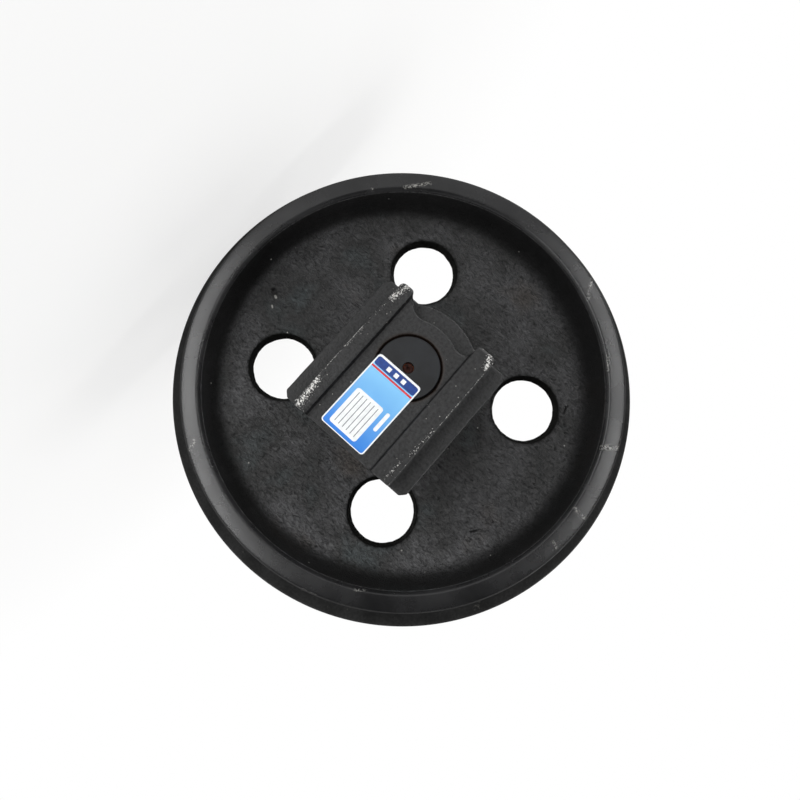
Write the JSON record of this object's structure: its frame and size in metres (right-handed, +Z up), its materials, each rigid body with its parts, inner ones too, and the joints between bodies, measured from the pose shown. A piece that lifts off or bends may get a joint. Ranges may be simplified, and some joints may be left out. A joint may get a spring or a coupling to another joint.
{
  "type": "excavator front idler",
  "caption": "Cast track idler wheel with a centre flange and lightening holes, turning on a fixed shaft between guide brackets that slide in a track frame.",
  "frame": {"origin": "middle of the wheel, on the axle", "axes": "+Y along the axle, +Z up, +X along the guide rails towards the brackets' flat ends; the left side is at -Y"},
  "size_m": [0.4709, 0.246, 0.471],
  "materials": {
    "wheel_casting": "semi-gloss black paint on a rough casting",
    "bracket_casting": "semi-gloss black paint, worn bright along the rail edges",
    "shaft_steel": "machined, with thin black paint on the ends",
    "bush_bronze": "machined bronze",
    "seal_iron": "lapped alloy iron",
    "seal_rubber": "matte black nitrile",
    "pin_steel": "oiled steel",
    "washer_copper": "dull copper"
  },
  "bodies": {
    "mount": {"shaft": "shaft_steel", "left_bracket": "bracket_casting", "right_bracket": "bracket_casting", "left_bracket_seal_ring": "seal_iron", "right_bracket_seal_ring": "seal_iron", "left_bracket_toric": "seal_rubber", "right_bracket_toric": "seal_rubber", "left_shaft_o_ring": "seal_rubber", "right_shaft_o_ring": "seal_rubber", "left_lock_pin": "pin_steel", "right_lock_pin": "pin_steel", "oil_plug": "pin_steel", "plug_washer": "washer_copper"},
    "wheel": {"idler_wheel": "wheel_casting", "left_bush": "bush_bronze", "right_bush": "bush_bronze", "left_wheel_seal_ring": "seal_iron", "right_wheel_seal_ring": "seal_iron", "left_wheel_toric": "seal_rubber", "right_wheel_toric": "seal_rubber"}
  },
  "joints": [
    {"name": "wheel_spin", "type": "hinge", "parent": "mount", "child": "wheel", "pos_m": [0, 0, 0], "axis": [0, 1, 0], "continuous": true}
  ]
}
